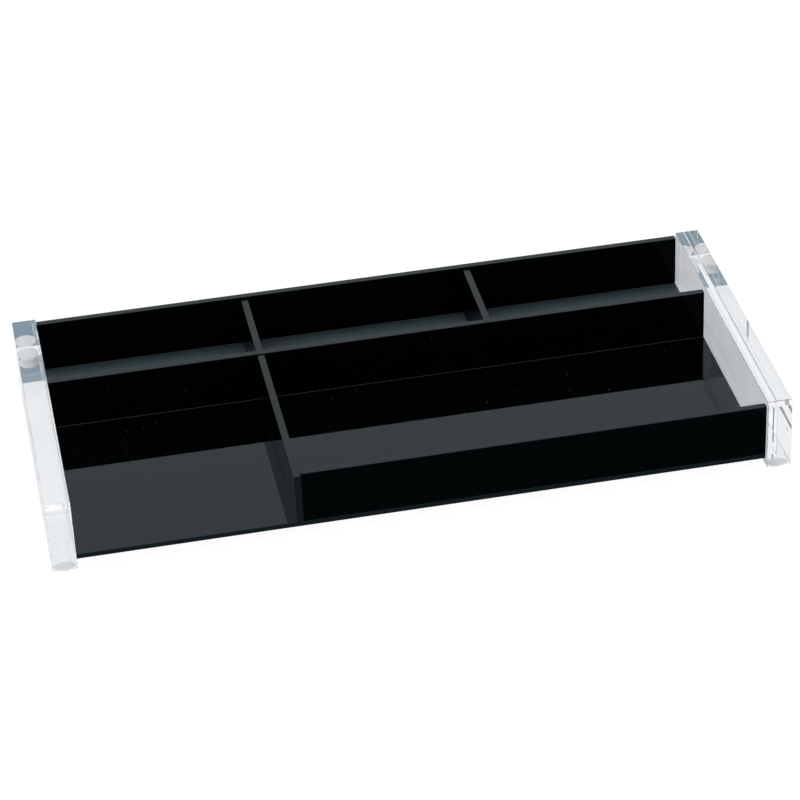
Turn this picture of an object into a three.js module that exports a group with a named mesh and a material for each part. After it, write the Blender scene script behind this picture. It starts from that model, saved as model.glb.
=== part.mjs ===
// A desk tray that holds pens and note paper: black acrylic sheets glued between two clear acrylic
// end bars, standing on four clear round feet.
//
// Millimetres, +Z up, +X to the right and +Y to the rear as someone at the desk sees it.
// The origin lies on the desk, under the middle of the tray's outline.

import * as THREE from 'three';

// Sheets

const TRAY_LENGTH = 254; // between the two end bars
const TRAY_DEPTH = 127; // from the front edge of the base sheet to its rear edge
const BASE_THICKNESS = 2;
const WALL_THICKNESS = 2.6; // walls and dividers
const OUTER_WALL_HEIGHT = 20.6; // rear and front walls, above the base sheet
const MIDDLE_WALL_HEIGHT = 20.1;
const DIVIDER_HEIGHT = 19.7;

// Compartments, as clear widths and depths

const MEMO_WIDTH = 79.6; // from the left end bar to the memo divider
const MEMO_DEPTH = 83; // from the front edge to the middle wall
const REAR_MIDDLE_WIDTH = 85.5; // between the two rear dividers

// End bars

const BAR_WIDTH = 9.1;
const BAR_RISE = 2.4; // above the outer walls
const BAR_DROP = 2.7; // below the base sheet
const BAR_FRONT_OVERHANG = 2.1; // ahead of the tray's front edge
const BAR_REAR_SETBACK = 2.1; // short of the tray's rear edge
const BAR_EDGE_BREAK = 0.2; // flat polished off every long and short edge
const BAR_FRONT_BEVEL = 1.5; // larger flat along the front top edge

// Feet

const FOOT_DIAMETER = 8;
const FOOT_HEIGHT = 2;
const FOOT_END_INSET = 0.7; // from the end of a bar to the rim of its foot
const FOOT_FLAT_DIAMETER = 3; // where the dome rests on the desk
const FOOT_SIDES = 40;
const FOOT_DOME_STEPS = 5;

// Levels

const BAR_BOTTOM = FOOT_HEIGHT;
const BASE_BOTTOM = BAR_BOTTOM + BAR_DROP;
const FLOOR = BASE_BOTTOM + BASE_THICKNESS;
const BAR_TOP = FLOOR + OUTER_WALL_HEIGHT + BAR_RISE;

// Places across the tray

const LEFT_END = -TRAY_LENGTH / 2;
const RIGHT_END = TRAY_LENGTH / 2;
const MEMO_DIVIDER_LEFT = LEFT_END + MEMO_WIDTH;
const MEMO_DIVIDER_RIGHT = MEMO_DIVIDER_LEFT + WALL_THICKNESS;
const REAR_DIVIDER_LEFT = MEMO_DIVIDER_RIGHT + REAR_MIDDLE_WIDTH;
const REAR_DIVIDER_RIGHT = REAR_DIVIDER_LEFT + WALL_THICKNESS;

// Places from front to rear

const OUTLINE_DEPTH = BAR_FRONT_OVERHANG + TRAY_DEPTH;
const BAR_FRONT = -OUTLINE_DEPTH / 2;
const FRONT_EDGE = BAR_FRONT + BAR_FRONT_OVERHANG;
const REAR_EDGE = FRONT_EDGE + TRAY_DEPTH;
const BAR_REAR = REAR_EDGE - BAR_REAR_SETBACK;
const FRONT_WALL_BACK = FRONT_EDGE + WALL_THICKNESS;
const MIDDLE_WALL_FRONT = FRONT_EDGE + MEMO_DEPTH;
const MIDDLE_WALL_BACK = MIDDLE_WALL_FRONT + WALL_THICKNESS;
const REAR_WALL_FRONT = REAR_EDGE - WALL_THICKNESS;

// Materials

function blackAcrylic() {
  return new THREE.MeshStandardMaterial({ color: 0x090a0b, roughness: 0.1, metalness: 0 });
}

function clearAcrylic() {
  return new THREE.MeshStandardMaterial({
    color: 0xe5ebed,
    roughness: 0.06,
    metalness: 0,
    transparent: true,
    opacity: 0.4,
  });
}

function clearFootRubber() {
  return new THREE.MeshStandardMaterial({
    color: 0xdde3e4,
    roughness: 0.35,
    metalness: 0,
    transparent: true,
    opacity: 0.6,
  });
}

// Shared shapes

function middle(low, high) {
  return (low + high) / 2;
}

// A flat-faced sheet between two opposite corners.
function sheet(name, low, high) {
  const geometry = new THREE.BoxGeometry(high.x - low.x, high.y - low.y, high.z - low.z);
  const mesh = new THREE.Mesh(geometry, blackAcrylic());
  mesh.name = name;
  mesh.position.set(middle(low.x, high.x), middle(low.y, high.y), middle(low.z, high.z));
  return mesh;
}

// A wall or divider that stands on the floor of the tray.
function uprightSheet(name, left, right, front, rear, height) {
  const low = new THREE.Vector3(left, front, FLOOR);
  const high = new THREE.Vector3(right, rear, FLOOR + height);
  return sheet(name, low, high);
}

// The side view of a bar, front to the left: a rectangle whose corners are cut off at 45 degrees, with
// a larger cut at the front top one.
function barOutline(length, height, cut, frontTopCut) {
  const front = -length / 2;
  const rear = length / 2;
  const bottom = -height / 2;
  const top = height / 2;
  const outline = new THREE.Shape();
  outline.moveTo(front + cut, bottom);
  outline.lineTo(rear - cut, bottom);
  outline.lineTo(rear, bottom + cut);
  outline.lineTo(rear, top - cut);
  outline.lineTo(rear - cut, top);
  outline.lineTo(front + frontTopCut, top);
  outline.lineTo(front, top - frontTopCut);
  outline.lineTo(front, bottom + cut);
  outline.closePath();
  return outline;
}

// Base sheet

function basePlate() {
  const low = new THREE.Vector3(LEFT_END, FRONT_EDGE, BASE_BOTTOM);
  const high = new THREE.Vector3(RIGHT_END, REAR_EDGE, FLOOR);
  return sheet('base_plate', low, high);
}

// Walls along the tray

function rearWall() {
  const height = OUTER_WALL_HEIGHT;
  return uprightSheet('rear_wall', LEFT_END, RIGHT_END, REAR_WALL_FRONT, REAR_EDGE, height);
}

function middleWall() {
  const height = MIDDLE_WALL_HEIGHT;
  return uprightSheet('middle_wall', LEFT_END, RIGHT_END, MIDDLE_WALL_FRONT, MIDDLE_WALL_BACK, height);
}

// The front wall closes the pen compartment alone: the memo compartment is open at the front.
function frontWall() {
  const height = OUTER_WALL_HEIGHT;
  return uprightSheet('front_wall', MEMO_DIVIDER_RIGHT, RIGHT_END, FRONT_EDGE, FRONT_WALL_BACK, height);
}

// Dividers from front to rear

function memoDivider() {
  const left = MEMO_DIVIDER_LEFT;
  const right = MEMO_DIVIDER_RIGHT;
  return uprightSheet('memo_divider', left, right, FRONT_EDGE, MIDDLE_WALL_FRONT, DIVIDER_HEIGHT);
}

function rearDivider(name, left, right) {
  return uprightSheet(name, left, right, MIDDLE_WALL_BACK, REAR_WALL_FRONT, DIVIDER_HEIGHT);
}

// End bars

// The outline is drawn smaller by the edge break, which the extrusion then puts back all round. That
// lengthens each leg of a corner cut by a fixed share of the edge break.
function endBar(name, left) {
  const length = BAR_REAR - BAR_FRONT;
  const height = BAR_TOP - BAR_BOTTOM;
  const legGrowth = (2 - Math.SQRT2) * BAR_EDGE_BREAK;
  const outline = barOutline(
    length - 2 * BAR_EDGE_BREAK,
    height - 2 * BAR_EDGE_BREAK,
    BAR_EDGE_BREAK - legGrowth,
    BAR_FRONT_BEVEL - legGrowth,
  );
  const straightWidth = BAR_WIDTH - 2 * BAR_EDGE_BREAK;
  const geometry = new THREE.ExtrudeGeometry(outline, {
    depth: straightWidth,
    bevelEnabled: true,
    bevelThickness: BAR_EDGE_BREAK,
    bevelSize: BAR_EDGE_BREAK,
    bevelSegments: 1,
  });
  geometry.translate(0, 0, -straightWidth / 2);
  const rearward = new THREE.Vector3(0, 1, 0);
  const upward = new THREE.Vector3(0, 0, 1);
  const across = new THREE.Vector3(1, 0, 0);
  geometry.applyMatrix4(new THREE.Matrix4().makeBasis(rearward, upward, across));
  const mesh = new THREE.Mesh(geometry, clearAcrylic());
  mesh.name = name;
  mesh.position.set(left + BAR_WIDTH / 2, middle(BAR_FRONT, BAR_REAR), middle(BAR_BOTTOM, BAR_TOP));
  return mesh;
}

// Feet

// Half of the section of a domed foot: from the axis on the desk, up the dome to its rim, to the axis
// on top. The dome is half of an ellipsoid with its tip cut flat.
function footProfile() {
  const radius = FOOT_DIAMETER / 2;
  const flatAngle = Math.asin(FOOT_FLAT_DIAMETER / FOOT_DIAMETER);
  const domeDepth = FOOT_HEIGHT / Math.cos(flatAngle);
  const points = [new THREE.Vector2(0, 0)];
  for (let step = 0; step < FOOT_DOME_STEPS; step += 1) {
    const angle = flatAngle + (Math.PI / 2 - flatAngle) * (step / FOOT_DOME_STEPS);
    const outward = radius * Math.sin(angle);
    const upward = step === 0 ? 0 : FOOT_HEIGHT - domeDepth * Math.cos(angle);
    points.push(new THREE.Vector2(outward, upward));
  }
  points.push(new THREE.Vector2(radius, FOOT_HEIGHT));
  points.push(new THREE.Vector2(0, FOOT_HEIGHT));
  return points;
}

function foot(name, x, y) {
  const geometry = new THREE.LatheGeometry(footProfile(), FOOT_SIDES);
  geometry.rotateX(Math.PI / 2);
  const mesh = new THREE.Mesh(geometry, clearFootRubber());
  mesh.name = name;
  mesh.position.set(x, y, 0);
  return mesh;
}

// Assembly

function tray() {
  const leftBarLeft = LEFT_END - BAR_WIDTH;
  const rightBarLeft = RIGHT_END;
  const footInset = FOOT_END_INSET + FOOT_DIAMETER / 2;
  const frontFootY = BAR_FRONT + footInset;
  const rearFootY = BAR_REAR - footInset;
  const leftFootX = leftBarLeft + BAR_WIDTH / 2;
  const rightFootX = rightBarLeft + BAR_WIDTH / 2;

  const group = new THREE.Group();
  group.add(basePlate());
  group.add(rearWall());
  group.add(middleWall());
  group.add(frontWall());
  group.add(memoDivider());
  group.add(rearDivider('rear_divider_left', MEMO_DIVIDER_LEFT, MEMO_DIVIDER_RIGHT));
  group.add(rearDivider('rear_divider_right', REAR_DIVIDER_LEFT, REAR_DIVIDER_RIGHT));
  group.add(endBar('left_end_bar', leftBarLeft));
  group.add(endBar('right_end_bar', rightBarLeft));
  group.add(foot('foot_front_left', leftFootX, frontFootY));
  group.add(foot('foot_front_right', rightFootX, frontFootY));
  group.add(foot('foot_rear_left', leftFootX, rearFootY));
  group.add(foot('foot_rear_right', rightFootX, rearFootY));
  return group;
}

export default tray();
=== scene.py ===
"""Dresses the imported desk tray: black acrylic sheets glued between two clear acrylic end bars.

Metres, +Z up, +X along the tray to the right and +Y to the rear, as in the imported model.
"""

import math

import bmesh
import bpy
from bpy.props import FloatProperty, FloatVectorProperty, IntProperty, PointerProperty
from bpy.types import Operator, Panel, PropertyGroup
from mathutils import Matrix, Vector


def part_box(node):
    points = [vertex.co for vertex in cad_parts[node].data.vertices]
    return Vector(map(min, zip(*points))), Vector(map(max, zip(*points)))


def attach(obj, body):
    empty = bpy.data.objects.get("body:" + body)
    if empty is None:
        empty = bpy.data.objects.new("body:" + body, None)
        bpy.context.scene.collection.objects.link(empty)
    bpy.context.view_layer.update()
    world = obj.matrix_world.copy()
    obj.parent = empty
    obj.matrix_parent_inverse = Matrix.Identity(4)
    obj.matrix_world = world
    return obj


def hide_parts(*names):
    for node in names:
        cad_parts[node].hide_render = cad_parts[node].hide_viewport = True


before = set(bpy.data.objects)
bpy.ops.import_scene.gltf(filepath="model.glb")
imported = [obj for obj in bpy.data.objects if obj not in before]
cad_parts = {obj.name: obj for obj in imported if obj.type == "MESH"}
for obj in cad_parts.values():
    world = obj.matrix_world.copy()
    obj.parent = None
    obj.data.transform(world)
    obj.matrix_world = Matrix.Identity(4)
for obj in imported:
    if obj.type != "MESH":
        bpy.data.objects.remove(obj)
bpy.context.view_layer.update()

bl_info = {
    "name": "Acrylic desk tray",
    "version": (1, 0, 0),
    "blender": (4, 5, 0),
    "location": "3D View > Sidebar > Desk tray",
    "description": "Builds a desk tray of black acrylic sheets between two clear end bars",
    "category": "Object",
}

MM = 0.001
BODY = "root"

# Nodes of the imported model

BASE = "base_plate"
REAR_WALL = "rear_wall"
MIDDLE_WALL = "middle_wall"
FRONT_WALL = "front_wall"
MEMO_DIVIDER = "memo_divider"
REAR_DIVIDERS = ("rear_divider_left", "rear_divider_right")
LEFT_BAR = "left_end_bar"
RIGHT_BAR = "right_end_bar"
FEET = ("foot_front_left", "foot_front_right", "foot_rear_left", "foot_rear_right")

# Directions

UPWARD = Vector((0, 0, 1))
AXES = "xyz"
SQUARELY = 0.999  # a face whose normal has a part above this looks straight along that axis

# Fixed values of the materials

ACRYLIC_IOR = 1.49
GLUE_IOR = 1.47
RUBBER_IOR = 1.45
WHITE = (1.0, 1.0, 1.0)
PAINTED_SHADE_DEPTH = 9.0 * MM  # depth over which the painted light on the rear floor fades to painted shade before the rear wall
# share of the painted light that is left at the foot of the rear wall
PAINTED_LIGHT_AT_WALL = 0.3

# Places of the colours among the sockets of a Mix node

FIRST_COLOUR = 6
SECOND_COLOUR = 7
MIXED_COLOUR = 2

# Glue

BEAD_SINK = 0.02 * MM  # how far a bead reaches into the sheets that it joins
BEAD_STEPS = 4

# Camera, in metres and degrees, as solved from the edges in the photo

CAMERA_PLACE = (-0.161202, -0.962769, 0.654176)
CAMERA_DOWNWARD = 33.36906
CAMERA_RIGHTWARD = 9.66860
CAMERA_ROLL = -2.68669

# Desk and surround

DESK_DROP = 0.02 * MM  # keeps the desk clear of the feet
DESK_CHANGE = 1.0 * MM  # width over which the polished desk turns plain beside the tray
DESK_WHITE_STRENGTH = 1.04
DESK_WHITE_SEEN = 0.93
DESK_WHITE_MIRRORED = 0.02
SURROUND_WHITE_SEEN = 1.0
SURROUND_WHITE_MIRRORED = 0.012

# Bounds of the dim patch, as parts of a direction: where it starts, and where it is full

PATCH_FRONT = (-0.60, -0.68)
PATCH_BOTTOM = (0.34, 0.42)
PATCH_TOP = (0.78, 0.70)


# Sizes and colours


def length(name, description, default):
    """A size in metres that the panel shows."""
    return FloatProperty(
        name=name, description=description, default=default, min=0.0, unit="LENGTH", precision=5
    )


def colour(name, description, default):
    """A colour that the panel shows."""
    return FloatVectorProperty(
        name=name,
        description=description,
        default=default,
        size=3,
        min=0.0,
        max=1.0,
        subtype="COLOR",
    )


class TraySizes(PropertyGroup):
    """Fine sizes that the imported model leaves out."""

    sheet_rounding: length(
        "Sheet edge rounding", "Radius polished on the free edges of the black sheets", 0.14 * MM
    )
    bar_rounding: length(
        "Bar edge rounding", "Radius polished on the edges of the clear bars", 0.18 * MM
    )
    bar_front_bevel: length(
        "Bar front bevel", "Flat polished on the front top edge of the clear bars", 1.5 * MM
    )
    rounding_steps: IntProperty(
        name="Rounding steps", description="Faces across each rounded edge", default=3, min=1, max=8
    )
    glue_depth: length(
        "Glue depth", "How far glued faces reach into the clear bars, so that they touch", 0.02 * MM
    )
    seam_width: length("Seam width", "Width of the set glue in the inside corners", 0.25 * MM)
    foot_flat: length("Foot flat", "Diameter of the flat on which a foot's dome rests", 3.0 * MM)
    foot_sides: IntProperty(
        name="Foot sides", description="Faces round each foot", default=96, min=12, max=256
    )


class TrayColours(PropertyGroup):
    """Colours of the acrylic, the glue, the feet and the dust, and of the painted light on the rear
    floor.
    """

    black_acrylic: colour("Black acrylic", "Body of the black sheets", (0.0007, 0.0009, 0.001))
    cut_edge: colour(
        "Cut edge", "Sawn and polished edges of the black sheets", (0.006, 0.0072, 0.008)
    )
    sheen: colour("Sheen", "Tint of what the black sheets mirror", (0.58, 0.9, 1.0))
    glue: colour("Set glue", "Glue in the inside corners", (0.004, 0.0046, 0.005))
    dust: colour("Dust", "Dust that has settled on the black sheets", (0.07, 0.09, 0.10))
    # Painted light: a lighter tone for the floor of the rear compartments
    rear_floor_painted_light: colour(
        "Dust film", "Thin film of dust on the floor of the rear compartments", (0.075, 0.105, 0.12)
    )
    clear_acrylic: colour("Clear acrylic", "Tint of the end bars", (0.955, 0.958, 0.968))
    bar_dust: colour("Dust on the bars", "Specks on the end bars", (0.6, 0.62, 0.63))
    bar_shade: colour(
        "Light past the bars", "Share of lamp light that passes a face of a bar", (0.955, 0.965, 0.97)
    )
    foot_rubber: colour("Foot rubber", "Tint of the soft clear feet", (0.985, 0.995, 0.995))
    foot_dust: colour("Dust on the feet", "Specks that cling to the feet", (0.5, 0.52, 0.53))
    foot_shade: colour(
        "Light past the feet", "Share of lamp light that passes a face of a foot", (0.88, 0.90, 0.91)
    )


class StageSettings(PropertyGroup):
    """The desk, the surround and the camera."""

    desk_width: length("Desk width", "Side of the square pale desk", 12.0)
    desk_colour: colour("Desk colour", "Colour of the polished desk", (0.96, 0.97, 0.975))
    backdrop: colour("Backdrop", "Soft light all round the desk", (0.935, 0.943, 0.955))
    room: colour("Room", "Dim patch of the room high in front of the desk", (0.11, 0.20, 0.27))
    lens: FloatProperty(
        name="Lens",
        description="Focal length in millimetres on a 36 mm square frame",
        default=139.674,
    )


# Meshes


def corners(node):
    """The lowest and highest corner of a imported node."""
    low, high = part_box(node)
    return low.copy(), high.copy()


def direction(side):
    """The unit vector of a side written as a sign and an axis, such as +z."""
    vector = Vector((0, 0, 0))
    vector[AXES.index(side[1])] = 1 if side[0] == "+" else -1
    return vector


def side_of(face):
    """The side of its sheet that a face looks to, such as +z."""
    axis = max(range(3), key=lambda i: abs(face.normal[i]))
    sign = "+" if face.normal[axis] > 0 else "-"
    return sign + AXES[axis]


def block(mesh, low, high):
    """A block between two corners."""
    bmesh.ops.create_cube(mesh, size=1.0)
    bmesh.ops.scale(mesh, vec=high - low, verts=mesh.verts)
    bmesh.ops.translate(mesh, vec=(low + high) / 2, verts=mesh.verts)
    mesh.normal_update()


def round_edges(mesh, edges, radius, steps):
    """Rounds edges off, or cuts them flat with a single step."""
    bmesh.ops.bevel(
        mesh,
        geom=edges,
        offset=radius,
        offset_type="OFFSET",
        segments=steps,
        profile=0.5,
        affect="EDGES",
        material=-1,
    )
    mesh.normal_update()


def cut_flat(mesh, place, outward):
    """Cuts off what lies beyond a plane and closes the cut with one flat face."""
    cut = bmesh.ops.bisect_plane(
        mesh,
        geom=mesh.verts[:] + mesh.edges[:] + mesh.faces[:],
        plane_co=place,
        plane_no=outward,
        clear_outer=True,
    )
    rim = [item for item in cut["geom_cut"] if isinstance(item, bmesh.types.BMEdge)]
    bmesh.ops.contextual_create(mesh, geom=rim)
    bmesh.ops.recalc_face_normals(mesh, faces=mesh.faces)
    mesh.normal_update()


def piece(name, mesh, materials, nodes=()):
    """A finished object from a mesh, with its place in its mesh."""
    data = bpy.data.meshes.new(name)
    mesh.to_mesh(data)
    mesh.free()
    for look in materials:
        data.materials.append(look)
    made = bpy.data.objects.new(name, data)
    bpy.context.scene.collection.objects.link(made)
    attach(made, BODY)
    if nodes:
        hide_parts(*nodes)
    return made


def sheet(name, node, thin, free, glued, sizes, materials):
    """A black sheet in the place of its node.

    thin is the axis of its thickness, free the sides that are open to the air, whose common edges are
    rounded, and glued the sides that reach into a clear bar. The first material is for the two broad
    faces, and the second for the edges.
    """
    low, high = corners(node)
    for side in glued:
        axis = AXES.index(side[1])
        if side[0] == "+":
            high[axis] += sizes.glue_depth
        else:
            low[axis] -= sizes.glue_depth
    mesh = bmesh.new()
    block(mesh, low, high)
    open_edges = [
        edge for edge in mesh.edges if all(side_of(face) in free for face in edge.link_faces)
    ]
    round_edges(mesh, open_edges, sizes.sheet_rounding, sizes.rounding_steps)
    thin_axis = AXES.index(thin)
    for face in mesh.faces:
        broad = abs(face.normal[thin_axis]) > SQUARELY
        face.material_index = 0 if broad else 1
    return piece(name, mesh, materials, (node,))


def bar_mesh(low, high, sizes):
    """A clear bar between two corners, with its front top edge cut flat and all edges rounded."""
    mesh = bmesh.new()
    block(mesh, low, high)
    front_top = [
        edge for edge in mesh.edges if {side_of(face) for face in edge.link_faces} == {"-y", "+z"}
    ]
    round_edges(mesh, front_top, sizes.bar_front_bevel, 1)
    round_edges(mesh, mesh.edges[:], sizes.bar_rounding, sizes.rounding_steps)
    return mesh


def foot_mesh(low, high, sizes):
    """A foot between two corners: half of an ellipsoid with a flat below, and its top in the bar."""
    radius = (high.x - low.x) / 2
    height = high.z - low.z
    flat_radius = sizes.foot_flat / 2
    dome_depth = height / math.sqrt(1 - (flat_radius / radius) ** 2)
    rim_centre = Vector(((low.x + high.x) / 2, (low.y + high.y) / 2, high.z))
    mesh = bmesh.new()
    bmesh.ops.create_uvsphere(
        mesh, u_segments=sizes.foot_sides, v_segments=sizes.foot_sides // 2, radius=1.0
    )
    bmesh.ops.scale(mesh, vec=(radius, radius, dome_depth), verts=mesh.verts)
    bmesh.ops.translate(mesh, vec=rim_centre, verts=mesh.verts)
    cut_flat(mesh, low, -UPWARD)
    cut_flat(mesh, high + UPWARD * sizes.glue_depth, UPWARD)
    for face in mesh.faces:
        on_dome = len(face.verts) <= 4
        face.smooth = on_dome
    return mesh


def corner_bead(mesh, start, end, away, width):
    """A hollow bead of set glue along the foot of a wall, from start to end and away from the wall."""
    sink = (away + UPWARD) * -BEAD_SINK
    before = set(mesh.verts)
    corner = mesh.verts.new(start + sink)
    first = mesh.verts.new(start + UPWARD * width + sink)
    bmesh.ops.spin(
        mesh,
        geom=[first],
        cent=start + (away + UPWARD) * width + sink,
        axis=away.cross(UPWARD),
        angle=math.pi / 2,
        steps=BEAD_STEPS,
        use_merge=False,
    )
    arc = [vertex for vertex in mesh.verts if vertex not in before and vertex is not corner]
    arc.sort(key=lambda vertex: (vertex.co - first.co).length)
    face = mesh.faces.new([corner] + arc)
    made = bmesh.ops.extrude_face_region(mesh, geom=[face], use_keep_orig=True)
    moved = [item for item in made["geom"] if isinstance(item, bmesh.types.BMVert)]
    bmesh.ops.translate(mesh, vec=end - start, verts=moved)


# Colours and nodes for the materials and the surround


def toned(plain, share):
    """A colour made darker or lighter by a share."""
    return tuple(share * part for part in plain)


def math_node(tree, operation, first, second=None, place=(0, 0), clamp=False, third=None):
    """A Math node; first, second and third are sockets or numbers."""
    node = tree.nodes.new("ShaderNodeMath")
    node.operation = operation
    node.use_clamp = clamp
    node.location = place
    for socket, value in zip(node.inputs, (first, second, third)):
        if value is None:
            continue
        if isinstance(value, (int, float)):
            socket.default_value = value
        else:
            tree.links.new(value, socket)
    return node.outputs[0]


def ramp(tree, value, start, end, place, low=0.0, high=1.0):
    """Low at a start value and high at an end value, with a straight slope between."""
    node = tree.nodes.new("ShaderNodeMapRange")
    node.location = place
    node.inputs["From Min"].default_value = start
    node.inputs["From Max"].default_value = end
    node.inputs["To Min"].default_value = low
    node.inputs["To Max"].default_value = high
    tree.links.new(value, node.inputs["Value"])
    return node.outputs["Result"]


def mixed_colours(tree, share, first, second, place):
    """Two colours mixed by a share; each is a socket or three numbers."""
    node = tree.nodes.new("ShaderNodeMix")
    node.data_type = "RGBA"
    node.location = place
    tree.links.new(share, node.inputs["Factor"])
    for number, value in ((FIRST_COLOUR, first), (SECOND_COLOUR, second)):
        if isinstance(value, bpy.types.NodeSocket):
            tree.links.new(value, node.inputs[number])
        else:
            node.inputs[number].default_value = (*value, 1.0)
    return node.outputs[MIXED_COLOUR]


def axis_values(tree, vector, place):
    """The X, Y and Z of a vector, as named outputs."""
    node = tree.nodes.new("ShaderNodeSeparateXYZ")
    node.location = place
    tree.links.new(vector, node.inputs["Vector"])
    return node.outputs


# Shared effects of the materials


def new_group(name, inputs, outputs):
    """An empty shader node group with named inputs and outputs."""
    group = bpy.data.node_groups.new(name, "ShaderNodeTree")
    for label, kind, default in inputs:
        socket = group.interface.new_socket(name=label, in_out="INPUT", socket_type=kind)
        if default is not None:
            socket.default_value = default
    for label, kind in outputs:
        group.interface.new_socket(name=label, in_out="OUTPUT", socket_type=kind)
    source = group.nodes.new("NodeGroupInput")
    source.location = (-900, 0)
    result = group.nodes.new("NodeGroupOutput")
    result.location = (700, 0)
    return group, source, result


def stretched_noise(tree, vector, turn, stretch, scale, place):
    """Noise drawn out along one direction, as fine parallel streaks."""
    mapping = tree.nodes.new("ShaderNodeMapping")
    mapping.location = place
    mapping.inputs["Rotation"].default_value = turn
    mapping.inputs["Scale"].default_value = stretch
    tree.links.new(vector, mapping.inputs["Vector"])
    noise = tree.nodes.new("ShaderNodeTexNoise")
    noise.location = (place[0] + 180, place[1])
    noise.inputs["Detail"].default_value = 2.0
    noise.inputs["Roughness"].default_value = 0.55
    tree.links.new(mapping.outputs["Vector"], noise.inputs["Vector"])
    tree.links.new(scale, noise.inputs["Scale"])
    return noise.outputs["Fac"]


def hairline_scratches():
    """Fine handling scratches in three directions. Mask is 1 on a scratch."""
    group, source, result = new_group(
        "hairline_scratches",
        (
            ("Vector", "NodeSocketVector", None),
            ("Scale", "NodeSocketFloat", 60.0),
            ("Coverage", "NodeSocketFloat", 0.3),
        ),
        (("Mask", "NodeSocketFloat"),),
    )
    turns = ((0.2, 0.1, 0.5), (0.1, -0.15, 2.1), (-0.15, 0.2, 1.3))
    stretch = (0.6, 26.0, 26.0)
    threshold_without_coverage = 0.78
    threshold_change = -0.16
    sharpness = 30.0
    threshold = math_node(
        group,
        "MULTIPLY_ADD",
        source.outputs["Coverage"],
        threshold_change,
        (-700, -300),
        third=threshold_without_coverage,
    )
    total = None
    for number, turn in enumerate(turns):
        row = 320 - 240 * number
        streaks = stretched_noise(
            group, source.outputs["Vector"], turn, stretch, source.outputs["Scale"], (-680, row)
        )
        above = math_node(group, "SUBTRACT", streaks, threshold, (-280, row))
        line = math_node(group, "MULTIPLY", above, sharpness, (-100, row), clamp=True)
        if total is None:
            total = line
        else:
            total = math_node(group, "MAXIMUM", total, line, (80, row))
    group.links.new(total, result.inputs["Mask"])
    return group


def settled_dust():
    """Small specks of dust. Mask is 1 on a speck."""
    group, source, result = new_group(
        "settled_dust",
        (
            ("Vector", "NodeSocketVector", None),
            ("Scale", "NodeSocketFloat", 400.0),
            ("Amount", "NodeSocketFloat", 0.2),
        ),
        (("Mask", "NodeSocketFloat"),),
    )
    least_radius = 0.06
    radius_spread = 0.16
    sharpness = 14.0
    cells = group.nodes.new("ShaderNodeTexVoronoi")
    cells.location = (-600, 0)
    cells.inputs["Randomness"].default_value = 1.0
    group.links.new(source.outputs["Vector"], cells.inputs["Vector"])
    group.links.new(source.outputs["Scale"], cells.inputs["Scale"])
    parts = group.nodes.new("ShaderNodeSeparateColor")
    parts.location = (-400, -160)
    group.links.new(cells.outputs["Color"], parts.inputs["Color"])
    chosen = math_node(
        group, "LESS_THAN", parts.outputs["Red"], source.outputs["Amount"], (-200, -160)
    )
    radius = math_node(
        group, "MULTIPLY_ADD", parts.outputs["Green"], radius_spread, (-200, 120), third=least_radius
    )
    inside = math_node(group, "SUBTRACT", radius, cells.outputs["Distance"], (0, 120))
    speck = math_node(group, "MULTIPLY", inside, sharpness, (180, 120), clamp=True)
    mask = math_node(group, "MULTIPLY", speck, chosen, (360, 0))
    group.links.new(mask, result.inputs["Mask"])
    return group


def slow_waves():
    """The slight unevenness of cast sheet. Height runs from 0 to 1."""
    group, source, result = new_group(
        "slow_waves",
        (("Vector", "NodeSocketVector", None), ("Scale", "NodeSocketFloat", 30.0)),
        (("Height", "NodeSocketFloat"),),
    )
    noise = group.nodes.new("ShaderNodeTexNoise")
    noise.location = (-400, 0)
    noise.inputs["Detail"].default_value = 1.0
    noise.inputs["Roughness"].default_value = 0.4
    group.links.new(source.outputs["Vector"], noise.inputs["Vector"])
    group.links.new(source.outputs["Scale"], noise.inputs["Scale"])
    group.links.new(noise.outputs["Fac"], result.inputs["Height"])
    return group


EFFECTS = {
    "hairline_scratches": hairline_scratches,
    "settled_dust": settled_dust,
    "slow_waves": slow_waves,
}


# Materials


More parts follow.
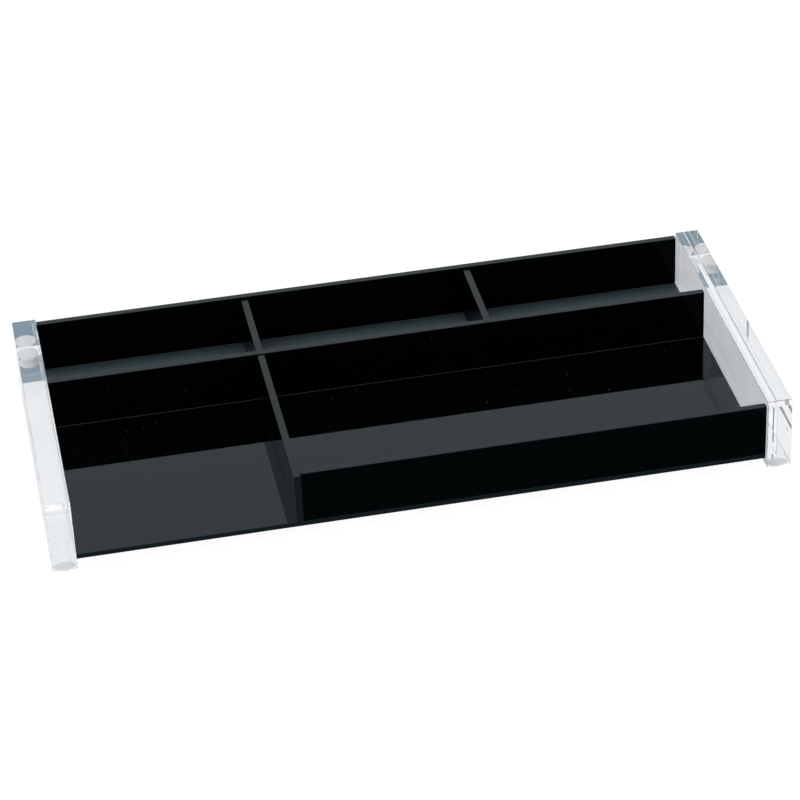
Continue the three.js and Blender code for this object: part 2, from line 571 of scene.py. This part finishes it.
class Recipe:
    """A material being put together, with its shader and object coordinates."""

    def __init__(self, name):
        self.material = bpy.data.materials.new(name)
        self.material.use_nodes = True
        self.tree = self.material.node_tree
        self.shader = self.tree.nodes["Principled BSDF"]
        self.output = self.tree.nodes["Material Output"]
        self.shader.location = (300, 0)
        self.output.location = (800, 0)
        place = self.tree.nodes.new("ShaderNodeTexCoord")
        place.location = (-1300, 0)
        self.place = place.outputs["Object"]

    def set(self, **plain):
        """Sets plain numbers and colours on the shader's own sockets."""
        for label, value in plain.items():
            self.shader.inputs[label.replace("_", " ")].default_value = value

    def feed(self, label, value):
        """Leads a value that changes over the surface to one of the shader's sockets."""
        self.tree.links.new(value, self.shader.inputs[label])

    def effect(self, name, output, row, **values):
        """Places a shared effect with its own values and gives one of its outputs."""
        group = bpy.data.node_groups.get(name) or EFFECTS[name]()
        node = self.tree.nodes.new("ShaderNodeGroup")
        node.node_tree = group
        node.location = (-1000, row)
        node.label = name.replace("_", " ")
        self.tree.links.new(self.place, node.inputs["Vector"])
        for label, value in values.items():
            node.inputs[label].default_value = value
        return node.outputs[output]

    def noise(self, scale, detail, row):
        """Plain noise from 0 to 1."""
        node = self.tree.nodes.new("ShaderNodeTexNoise")
        node.location = (-1000, row)
        node.inputs["Scale"].default_value = scale
        node.inputs["Detail"].default_value = detail
        self.tree.links.new(self.place, node.inputs["Vector"])
        return node.outputs["Fac"]

    def math(self, operation, first, second=None, place=(-600, 0), clamp=False):
        """A Math node among the material's own nodes."""
        return math_node(self.tree, operation, first, second, place, clamp)

    def scaled(self, value, share, place):
        """A value times a share."""
        return self.math("MULTIPLY", value, share, place)

    def ranged(self, value, low, high, place):
        """A value from 0 to 1 turned into one from low to high."""
        return ramp(self.tree, value, 0.0, 1.0, place, low, high)

    def mottled(self, noise, plain, darkest, lightest):
        """A colour that wanders between a darker and a lighter tone of itself."""
        return mixed_colours(
            self.tree, noise, toned(plain, darkest), toned(plain, lightest), (-500, 300)
        )

    def dusted(self, dust, cover, below, speck):
        """A colour or socket with specks of dust over it, which cover it by a share."""
        share = self.scaled(dust, cover, (-600, 150))
        return mixed_colours(self.tree, share, below, speck, (-250, 250))

    def bump(self, height, depth, strength, before, place):
        """A Bump node of a real depth in metres, on top of an earlier normal."""
        node = self.tree.nodes.new("ShaderNodeBump")
        node.location = place
        node.inputs["Strength"].default_value = strength
        node.inputs["Distance"].default_value = depth
        self.tree.links.new(height, node.inputs["Height"])
        if before is not None:
            self.tree.links.new(before, node.inputs["Normal"])
        return node.outputs["Normal"]

    def let_lamps_through(self, tint):
        """Lets lamp light pass a clear piece, so that it reaches what is under and behind it."""
        path = self.tree.nodes.new("ShaderNodeLightPath")
        path.location = (300, 400)
        clear = self.tree.nodes.new("ShaderNodeBsdfTransparent")
        clear.location = (300, -700)
        clear.inputs["Color"].default_value = (*tint, 1.0)
        self.swap_shader(path.outputs["Is Shadow Ray"], clear.outputs["BSDF"])

    def swap_shader(self, share, other):
        """Shows another shader in place of the material's own one, by a share."""
        mix = self.tree.nodes.new("ShaderNodeMixShader")
        mix.location = (600, 0)
        self.tree.links.new(share, mix.inputs["Fac"])
        self.tree.links.new(self.shader.outputs["BSDF"], mix.inputs[1])
        self.tree.links.new(other, mix.inputs[2])
        self.tree.links.new(mix.outputs["Shader"], self.output.inputs["Surface"])


def polished_black(name, colours, specular, dust_amount):
    """Polished black acrylic: a dark mirror with faint waves, hairline scratches and dust.

    Gives the material and the colour of its dusted body.
    """
    made = Recipe(name)
    made.set(IOR=ACRYLIC_IOR, Specular_IOR_Level=specular, Specular_Tint=(*colours.sheen, 1.0))
    scratches = made.effect("hairline_scratches", "Mask", 200, Scale=45.0, Coverage=0.32)
    dust = made.effect("settled_dust", "Mask", 0, Scale=620.0, Amount=dust_amount)
    waves = made.effect("slow_waves", "Height", -200, Scale=26.0)
    haze = made.noise(scale=90.0, detail=3.0, row=-400)
    tone = made.mottled(haze, colours.black_acrylic, darkest=0.8, lightest=1.2)
    body = made.dusted(dust, cover=0.5, below=tone, speck=colours.dust)
    made.feed("Base Color", body)
    calm = made.ranged(haze, low=0.018, high=0.032, place=(-600, -100))
    scratched = made.scaled(scratches, share=0.10, place=(-600, 0))
    dusty = made.scaled(dust, share=0.5, place=(-600, -60))
    rough = made.math("ADD", calm, scratched, (-400, 0))
    made.feed("Roughness", made.math("ADD", rough, dusty, (-200, 0), clamp=True))
    normal = made.bump(waves, depth=0.012 * MM, strength=1.0, before=None, place=(-500, -300))
    normal = made.bump(scratches, depth=0.0004 * MM, strength=0.5, before=normal, place=(-300, -300))
    normal = made.bump(dust, depth=0.006 * MM, strength=0.5, before=normal, place=(-100, -300))
    made.feed("Normal", normal)
    return made, body


def wall_face(colours):
    """The broad faces of the walls and dividers. They reflect far less than the floor of the same
    acrylic: a shaded copy of it, painted shade that keeps the walls near black.
    """
    # Painted shade: a much weaker reflection than the floor's keeps the walls near black
    made, _ = polished_black("black_acrylic_wall", colours, specular=0.05, dust_amount=0.02)
    return made


def floor_face(colours):
    """The top of the base sheet: the same polish, with painted light on the floor of the rear
    compartments that fades to painted shade towards the rear wall.
    """
    made, body = polished_black("black_acrylic_floor", colours, specular=0.33, dust_amount=0.05)
    front_of_rear_wall = corners(REAR_WALL)[0].y
    back_of_middle_wall = corners(MIDDLE_WALL)[1].y
    full_painted_light = front_of_rear_wall - PAINTED_SHADE_DEPTH
    depth = axis_values(made.tree, made.place, (-1000, 600))["Y"]
    # Painted shade: the painted light on the rear floor fades out towards the rear wall
    fade_to_painted_shade = ramp(made.tree, depth, front_of_rear_wall, full_painted_light, (-800, 600), low=PAINTED_LIGHT_AT_WALL)
    behind = made.math("GREATER_THAN", depth, back_of_middle_wall, (-800, 800))
    rear_floor_painted_light = made.math("MULTIPLY", fade_to_painted_shade, behind, (-500, 700))
    painted_light_noise = made.noise(scale=60.0, detail=4.0, row=800)
    painted_light_variation = made.ranged(painted_light_noise, low=0.85, high=1.1, place=(-700, 950))
    cloudy = made.math("MULTIPLY", rear_floor_painted_light, painted_light_variation, (-300, 700), clamp=True)
    # Painted light mixed into the base colour of the rear floor
    made.feed("Base Color", mixed_colours(made.tree, cloudy, body, colours.rear_floor_painted_light, (0, 500)))
    return made


def cut_edge(colours):
    """Sawn and polished edge of a black sheet: a little duller, with fine marks along it."""
    made = Recipe("black_acrylic_cut_edge")
    made.set(IOR=ACRYLIC_IOR, Specular_IOR_Level=0.27, Specular_Tint=(*colours.sheen, 1.0))
    scratches = made.effect("hairline_scratches", "Mask", 200, Scale=90.0, Coverage=0.5)
    dust = made.effect("settled_dust", "Mask", 0, Scale=800.0, Amount=0.08)
    waves = made.effect("slow_waves", "Height", -200, Scale=160.0)
    mottling = made.noise(scale=260.0, detail=4.0, row=-400)
    tone = made.mottled(mottling, colours.cut_edge, darkest=0.7, lightest=1.3)
    made.feed("Base Color", made.dusted(dust, cover=0.35, below=tone, speck=colours.dust))
    calm = made.ranged(mottling, low=0.10, high=0.20, place=(-600, -100))
    scratched = made.scaled(scratches, share=0.15, place=(-600, 0))
    made.feed("Roughness", made.math("ADD", calm, scratched, (-300, 0), clamp=True))
    normal = made.bump(waves, depth=0.012 * MM, strength=1.0, before=None, place=(-500, -300))
    normal = made.bump(scratches, depth=0.0015 * MM, strength=0.6, before=normal, place=(-300, -300))
    made.feed("Normal", normal)
    return made


def set_glue(colours):
    """The thin bead of set glue in the inside corners."""
    made = Recipe("set_glue")
    made.set(IOR=GLUE_IOR, Specular_IOR_Level=0.3)
    dust = made.effect("settled_dust", "Mask", 0, Scale=900.0, Amount=0.3)
    ripples = made.noise(scale=320.0, detail=3.0, row=-300)
    tone = made.mottled(ripples, colours.glue, darkest=0.5, lightest=1.5)
    made.feed("Base Color", made.dusted(dust, cover=0.12, below=tone, speck=colours.dust))
    made.feed("Roughness", made.ranged(ripples, low=0.2, high=0.42, place=(-600, -100)))
    normal = made.bump(ripples, depth=0.03 * MM, strength=0.8, before=None, place=(-300, -300))
    made.feed("Normal", normal)
    return made


def clear_bar(colours):
    """Clear polished acrylic with a faint tint, slight waves, hairline scratches and a few specks."""
    made = Recipe("clear_acrylic_polished")
    made.set(IOR=ACRYLIC_IOR, Transmission_Weight=1.0)
    scratches = made.effect("hairline_scratches", "Mask", 200, Scale=40.0, Coverage=0.3)
    dust = made.effect("settled_dust", "Mask", 0, Scale=600.0, Amount=0.02)
    waves = made.effect("slow_waves", "Height", -200, Scale=45.0)
    tone = made.dusted(dust, cover=0.25, below=colours.clear_acrylic, speck=colours.bar_dust)
    made.feed("Base Color", tone)
    scratched = made.scaled(scratches, share=0.05, place=(-600, 0))
    least_roughness = 0.004
    made.feed("Roughness", made.math("ADD", scratched, least_roughness, (-300, 0), clamp=True))
    normal = made.bump(waves, depth=0.02 * MM, strength=1.0, before=None, place=(-500, -300))
    normal = made.bump(scratches, depth=0.0006 * MM, strength=0.5, before=normal, place=(-300, -300))
    made.feed("Normal", normal)
    made.let_lamps_through(colours.bar_shade)
    return made


def foot_rubber(colours):
    """Soft clear rubber: cloudy, with a fine moulded skin and dust that clings to it."""
    made = Recipe("clear_foot_rubber")
    made.set(IOR=RUBBER_IOR, Transmission_Weight=0.15)
    dust = made.effect("settled_dust", "Mask", 0, Scale=1100.0, Amount=0.3)
    skin = made.noise(scale=1500.0, detail=2.0, row=-200)
    cloud = made.noise(scale=500.0, detail=3.0, row=-400)
    tone = made.mottled(cloud, colours.foot_rubber, darkest=0.96, lightest=1.0)
    made.feed("Base Color", made.dusted(dust, cover=0.15, below=tone, speck=colours.foot_dust))
    made.feed("Roughness", made.ranged(cloud, low=0.10, high=0.22, place=(-600, -100)))
    normal = made.bump(skin, depth=0.004 * MM, strength=0.6, before=None, place=(-300, -300))
    made.feed("Normal", normal)
    made.let_lamps_through(colours.foot_shade)
    return made


MATERIALS = {
    "black_acrylic_wall": wall_face,
    "black_acrylic_floor": floor_face,
    "black_acrylic_cut_edge": cut_edge,
    "set_glue": set_glue,
    "clear_acrylic_polished": clear_bar,
    "clear_foot_rubber": foot_rubber,
}


def material(name):
    """A material by name, put together the first time it is asked for."""
    found = bpy.data.materials.get(name)
    if found is None:
        found = MATERIALS[name](bpy.context.scene.tray_colours).material
    return found


def sheet_materials(face="black_acrylic_wall"):
    """The materials of a sheet's broad faces and of its edges."""
    return [material(face), material("black_acrylic_cut_edge")]


# Pieces


class BaseSheet(Operator):
    """Makes the base sheet that carries the walls"""

    bl_idname = "desk_tray.base_sheet"
    bl_label = "Base sheet"

    def execute(self, context):
        sizes = context.scene.tray_sizes
        looks = sheet_materials("black_acrylic_floor")
        sheet("base_sheet", BASE, "z", ("+z", "-z", "-y", "+y"), ("-x", "+x"), sizes, looks)
        return {"FINISHED"}


class LongWalls(Operator):
    """Makes the rear, middle and front walls, which run along the tray"""

    bl_idname = "desk_tray.long_walls"
    bl_label = "Long walls"

    def execute(self, context):
        sizes = context.scene.tray_sizes
        looks = sheet_materials()
        for node in (REAR_WALL, MIDDLE_WALL):
            sheet(node + "_sheet", node, "y", ("+z", "-y", "+y"), ("-x", "+x"), sizes, looks)
        sheet("front_wall_sheet", FRONT_WALL, "y", ("+z", "-y", "+y"), ("+x",), sizes, looks)
        return {"FINISHED"}


class Dividers(Operator):
    """Makes the memo divider and the two rear dividers"""

    bl_idname = "desk_tray.dividers"
    bl_label = "Dividers"

    def execute(self, context):
        sizes = context.scene.tray_sizes
        looks = sheet_materials()
        memo_free = ("+z", "-x", "+x", "-y")
        sheet("memo_divider_sheet", MEMO_DIVIDER, "x", memo_free, (), sizes, looks)
        for node in REAR_DIVIDERS:
            sheet(node + "_sheet", node, "x", ("+z", "-x", "+x"), (), sizes, looks)
        return {"FINISHED"}


class EndBars(Operator):
    """Makes the two clear end bars"""

    bl_idname = "desk_tray.end_bars"
    bl_label = "End bars"

    def execute(self, context):
        for node in (LEFT_BAR, RIGHT_BAR):
            mesh = bar_mesh(*corners(node), context.scene.tray_sizes)
            piece(node + "_clear", mesh, [material("clear_acrylic_polished")], (node,))
        return {"FINISHED"}


class Feet(Operator):
    """Makes the four round feet under the bars"""

    bl_idname = "desk_tray.feet"
    bl_label = "Feet"

    def execute(self, context):
        for node in FEET:
            mesh = foot_mesh(*corners(node), context.scene.tray_sizes)
            piece(node + "_rubber", mesh, [material("clear_foot_rubber")], (node,))
        return {"FINISHED"}


class GlueSeams(Operator):
    """Makes the thin beads of set glue in the inside corners"""

    bl_idname = "desk_tray.glue_seams"
    bl_label = "Glue seams"

    def execute(self, context):
        width = context.scene.tray_sizes.seam_width
        floor = corners(BASE)[1].z
        mesh = bmesh.new()
        long_runs = (
            (REAR_WALL, "-y", LEFT_BAR, RIGHT_BAR),
            (MIDDLE_WALL, "-y", LEFT_BAR, RIGHT_BAR),
            (MIDDLE_WALL, "+y", LEFT_BAR, RIGHT_BAR),
            (FRONT_WALL, "+y", MEMO_DIVIDER, RIGHT_BAR),
        )
        for node, side, from_node, to_node in long_runs:
            low, high = corners(node)
            y = low.y if side == "-y" else high.y
            start = Vector((corners(from_node)[1].x, y, floor))
            end = Vector((corners(to_node)[0].x, y, floor))
            corner_bead(mesh, start, end, direction(side), width)
        for node in (MEMO_DIVIDER, *REAR_DIVIDERS):
            low, high = corners(node)
            for side, x in (("-x", low.x), ("+x", high.x)):
                start = Vector((x, low.y, floor))
                end = Vector((x, high.y, floor))
                corner_bead(mesh, start, end, direction(side), width)
        bmesh.ops.recalc_face_normals(mesh, faces=mesh.faces)
        piece("glue_seams", mesh, [material("set_glue")])
        return {"FINISHED"}


# Stage


def white_share(tree, path, seen, mirrored, row):
    """How much plain white stands in for the real look.

    One share is for what the camera sees, and a smaller one for what it sees by a reflection or
    through a clear piece.
    """
    direct = math_node(tree, "MULTIPLY", path.outputs["Is Camera Ray"], seen, (-500, row))
    glossy = math_node(tree, "MULTIPLY", path.outputs["Is Glossy Ray"], mirrored, (-500, row - 180))
    through = math_node(
        tree, "MULTIPLY", path.outputs["Is Transmission Ray"], mirrored, (-500, row - 360)
    )
    indirect = math_node(tree, "MAXIMUM", glossy, through, (-300, row - 270))
    return math_node(tree, "MAXIMUM", direct, indirect, (-100, row))


def desk_material(settings):
    """A pale desk, plain beside the tray and polished elsewhere, with the tray's shadow on it.

    The camera sees it mostly as flat white.
    """
    made = Recipe("pale_desk")
    tree = made.tree
    grain = made.noise(scale=40.0, detail=3.0, row=0)
    made.feed("Base Color", made.mottled(grain, settings.desk_colour, darkest=0.985, lightest=1.0))
    path = tree.nodes.new("ShaderNodeLightPath")
    path.location = (-800, 700)
    across = axis_values(tree, made.place, (-1000, 1100))["X"]
    from_middle = math_node(tree, "ABSOLUTE", across, None, (-800, 1100))
    tray_side = corners(RIGHT_BAR)[1].x
    beside_tray = ramp(tree, from_middle, tray_side, tray_side + DESK_CHANGE, (-600, 1100))
    plain = math_node(tree, "MAXIMUM", path.outputs["Is Camera Ray"], beside_tray, (-400, 1100))
    made.feed("Metallic", made.ranged(plain, low=0.96, high=0.0, place=(-100, 1000)))
    made.feed("Roughness", made.ranged(plain, low=0.04, high=0.9, place=(-100, 1200)))
    flat = tree.nodes.new("ShaderNodeEmission")
    flat.location = (300, -700)
    flat.inputs["Color"].default_value = (*WHITE, 1.0)
    flat.inputs["Strength"].default_value = DESK_WHITE_STRENGTH
    share = white_share(tree, path, DESK_WHITE_SEEN, DESK_WHITE_MIRRORED, 700)
    made.swap_shader(share, flat.outputs["Emission"])
    return made.material


def surround_world(settings):
    """Soft light all round but for one dim patch in front, and white where the camera sees it."""
    world = bpy.data.worlds.new("soft_surround")
    world.use_nodes = True
    tree = world.node_tree
    background = tree.nodes["Background"]
    path = tree.nodes.new("ShaderNodeLightPath")
    path.location = (-700, 0)
    share = white_share(tree, path, SURROUND_WHITE_SEEN, SURROUND_WHITE_MIRRORED, 0)
    sky = tree.nodes.new("ShaderNodeTexCoord")
    sky.location = (-1300, -600)
    parts = axis_values(tree, sky.outputs["Generated"], (-1100, -600))
    forward = ramp(tree, parts["Y"], *PATCH_FRONT, (-900, -600))
    above_bottom = ramp(tree, parts["Z"], *PATCH_BOTTOM, (-900, -850))
    below_top = ramp(tree, parts["Z"], *PATCH_TOP, (-900, -1100))
    band = math_node(tree, "MULTIPLY", above_bottom, below_top, (-700, -900))
    dim = math_node(tree, "MULTIPLY", forward, band, (-500, -700))
    surround = mixed_colours(tree, dim, settings.backdrop, settings.room, (-300, -600))
    shown = mixed_colours(tree, share, surround, WHITE, (-100, -300))
    tree.links.new(shown, background.inputs["Color"])
    background.inputs["Strength"].default_value = 1.0
    bpy.context.scene.world = world


def softbox(name, place, target, width, height, radiance, tint):
    """A rectangular soft lamp whose face has the given radiance."""
    lamp = bpy.data.lights.new(name, "AREA")
    lamp.shape = "RECTANGLE"
    lamp.size = width
    lamp.size_y = height
    lamp.energy = radiance * math.pi * width * height
    lamp.color = tint
    made = bpy.data.objects.new(name, lamp)
    bpy.context.scene.collection.objects.link(made)
    made.location = place
    made.rotation_mode = "QUATERNION"
    made.rotation_quaternion = (Vector(target) - Vector(place)).to_track_quat("-Z", "Y")


def photo_camera(settings):
    """The camera at the photo's angle, on a frame 36 mm wide."""
    camera = bpy.data.cameras.new("camera")
    camera.sensor_fit = "HORIZONTAL"
    camera.sensor_width = 36.0
    camera.lens = settings.lens
    camera.clip_start = 0.05
    camera.clip_end = 60.0
    camera.dof.use_dof = False
    made = bpy.data.objects.new("camera", camera)
    bpy.context.scene.collection.objects.link(made)
    turn = (
        Matrix.Rotation(-math.radians(CAMERA_RIGHTWARD), 4, "Z")
        @ Matrix.Rotation(math.pi / 2 - math.radians(CAMERA_DOWNWARD), 4, "X")
        @ Matrix.Rotation(math.radians(CAMERA_ROLL), 4, "Z")
    )
    made.matrix_world = Matrix.Translation(CAMERA_PLACE) @ turn
    bpy.context.scene.camera = made


def pale_desk(settings):
    """The square desk under the tray."""
    mesh = bmesh.new()
    bmesh.ops.create_grid(mesh, x_segments=1, y_segments=1, size=settings.desk_width / 2)
    bmesh.ops.translate(mesh, vec=(0, 0, -DESK_DROP), verts=mesh.verts)
    data = bpy.data.meshes.new("desk")
    mesh.to_mesh(data)
    mesh.free()
    data.materials.append(desk_material(settings))
    desk = bpy.data.objects.new("desk", data)
    bpy.context.scene.collection.objects.link(desk)


class Stage(Operator):
    """Makes the pale desk, the soft light and the camera"""

    bl_idname = "desk_tray.stage"
    bl_label = "Stage"

    def execute(self, context):
        scene = context.scene
        pale_desk(scene.tray_stage)
        surround_world(scene.tray_stage)
        softbox(
            "softbox_above",
            place=(-0.2, -0.1, 1.6),
            target=(0, 0, 0),
            width=1.3,
            height=1.3,
            radiance=1.2,
            tint=(1.0, 0.99, 0.97),
        )
        photo_camera(scene.tray_stage)
        scene.view_settings.view_transform = "Standard"
        scene.cycles.max_bounces = 32
        scene.cycles.glossy_bounces = 24
        scene.cycles.transmission_bounces = 24
        scene.cycles.transparent_max_bounces = 16
        return {"FINISHED"}


# Panel


STEPS = (BaseSheet, LongWalls, Dividers, EndBars, Feet, GlueSeams, Stage)


class TrayPanel(Panel):
    """Lists the sizes, the colours and the steps that build the tray"""

    bl_idname = "VIEW3D_PT_desk_tray"
    bl_label = "Desk tray"
    bl_space_type = "VIEW_3D"
    bl_region_type = "UI"
    bl_category = "Desk tray"

    def draw(self, context):
        scene = context.scene
        for settings in (scene.tray_sizes, scene.tray_colours, scene.tray_stage):
            box = self.layout.box()
            for name in settings.__annotations__:
                box.prop(settings, name)
        for step in STEPS:
            self.layout.operator(step.bl_idname)


CLASSES = (TraySizes, TrayColours, StageSettings, *STEPS, TrayPanel)


def register():
    """Adds the tray's settings, steps and panel."""
    for item in CLASSES:
        bpy.utils.register_class(item)
    bpy.types.Scene.tray_sizes = PointerProperty(type=TraySizes)
    bpy.types.Scene.tray_colours = PointerProperty(type=TrayColours)
    bpy.types.Scene.tray_stage = PointerProperty(type=StageSettings)


def unregister():
    """Takes the tray's settings, steps and panel away."""
    del bpy.types.Scene.tray_stage
    del bpy.types.Scene.tray_colours
    del bpy.types.Scene.tray_sizes
    for item in reversed(CLASSES):
        bpy.utils.unregister_class(item)


def main():
    """Builds the tray and its stage, step by step."""
    register()
    bpy.ops.desk_tray.base_sheet()
    bpy.ops.desk_tray.long_walls()
    bpy.ops.desk_tray.dividers()
    bpy.ops.desk_tray.end_bars()
    bpy.ops.desk_tray.feet()
    bpy.ops.desk_tray.glue_seams()
    bpy.ops.desk_tray.stage()


if __name__ == "__main__":
    main()
